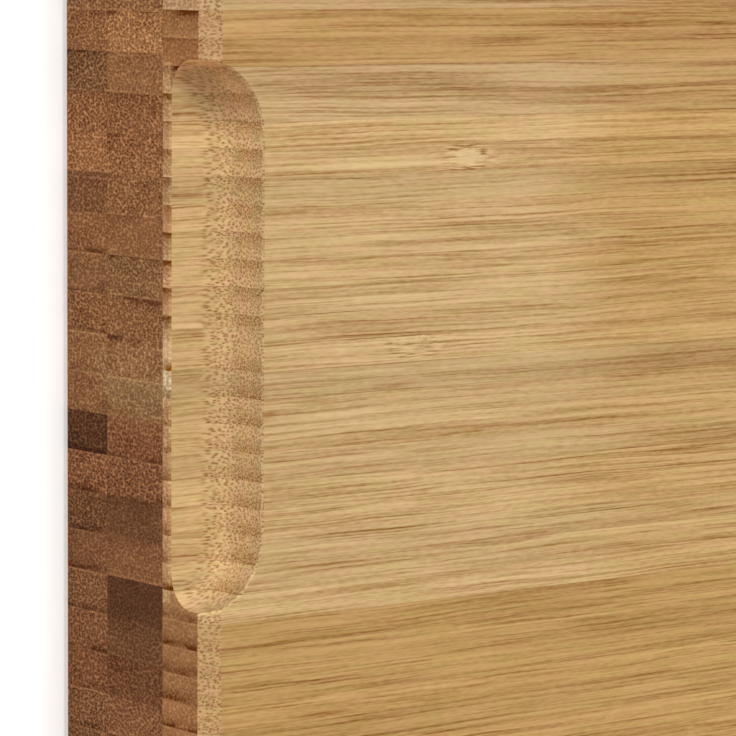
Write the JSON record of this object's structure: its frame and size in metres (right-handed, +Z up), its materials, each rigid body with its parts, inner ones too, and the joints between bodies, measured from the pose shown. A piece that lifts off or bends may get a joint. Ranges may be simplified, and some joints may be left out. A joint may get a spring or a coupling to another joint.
{
  "type": "chopping block",
  "caption": "Thick bamboo chopping block of upright glued strips in layers, with a chamfered top edge and a coved finger grip routed into the top edge of each end.",
  "frame": {"origin": "middle of the underside", "axes": "+X along the strips, +Y across the strips, +Z up to the face that holds the finger grips"},
  "size_m": [0.455, 0.355, 0.0463],
  "materials": {
    "top_bamboo": "satin",
    "middle_bamboo": "satin",
    "bottom_bamboo": "satin"
  },
  "bodies": {
    "root": {"bottom_front_side_strip": "bottom_bamboo", "bottom_rear_side_strip": "bottom_bamboo", "bottom_strips_01": "bottom_bamboo", "bottom_strips_02": "bottom_bamboo", "bottom_strips_03": "bottom_bamboo", "bottom_strips_04": "bottom_bamboo", "bottom_strips_05": "bottom_bamboo", "bottom_strips_06": "bottom_bamboo", "bottom_strips_07": "bottom_bamboo", "bottom_strips_08": "bottom_bamboo", "bottom_strips_09": "bottom_bamboo", "middle_front_side_strip": "middle_bamboo", "middle_rear_side_strip": "middle_bamboo", "middle_strips_01": "middle_bamboo", "middle_strips_02": "middle_bamboo", "middle_strips_03": "middle_bamboo", "middle_strips_04": "middle_bamboo", "middle_strips_05": "middle_bamboo", "middle_strips_06": "middle_bamboo", "middle_strips_07": "middle_bamboo", "middle_strips_08": "middle_bamboo", "middle_strips_09": "middle_bamboo", "top_centre_strip_01": "top_bamboo", "top_centre_strip_02": "top_bamboo", "top_centre_strip_03": "top_bamboo", "top_centre_strip_04": "top_bamboo", "top_centre_strip_05": "top_bamboo", "top_centre_strip_06": "top_bamboo", "top_centre_strip_07": "top_bamboo", "top_centre_strip_08": "top_bamboo", "top_centre_strip_09": "top_bamboo", "top_centre_strip_10": "top_bamboo", "top_centre_strip_11": "top_bamboo", "top_centre_strip_12": "top_bamboo", "top_centre_strip_13": "top_bamboo", "top_centre_strip_14": "top_bamboo", "top_centre_strip_15": "top_bamboo", "top_centre_strip_16": "top_bamboo", "top_centre_strip_17": "top_bamboo", "top_centre_strip_18": "top_bamboo", "top_centre_strip_19": "top_bamboo", "top_centre_strip_20": "top_bamboo", "top_centre_strip_21": "top_bamboo", "top_front_side_strip": "top_bamboo", "top_front_strips_1": "top_bamboo", "top_front_strips_2": "top_bamboo", "top_front_strips_3": "top_bamboo", "top_rear_side_strip": "top_bamboo", "top_rear_strips_1": "top_bamboo", "top_rear_strips_2": "top_bamboo", "top_rear_strips_3": "top_bamboo"}
  },
  "joints": []
}
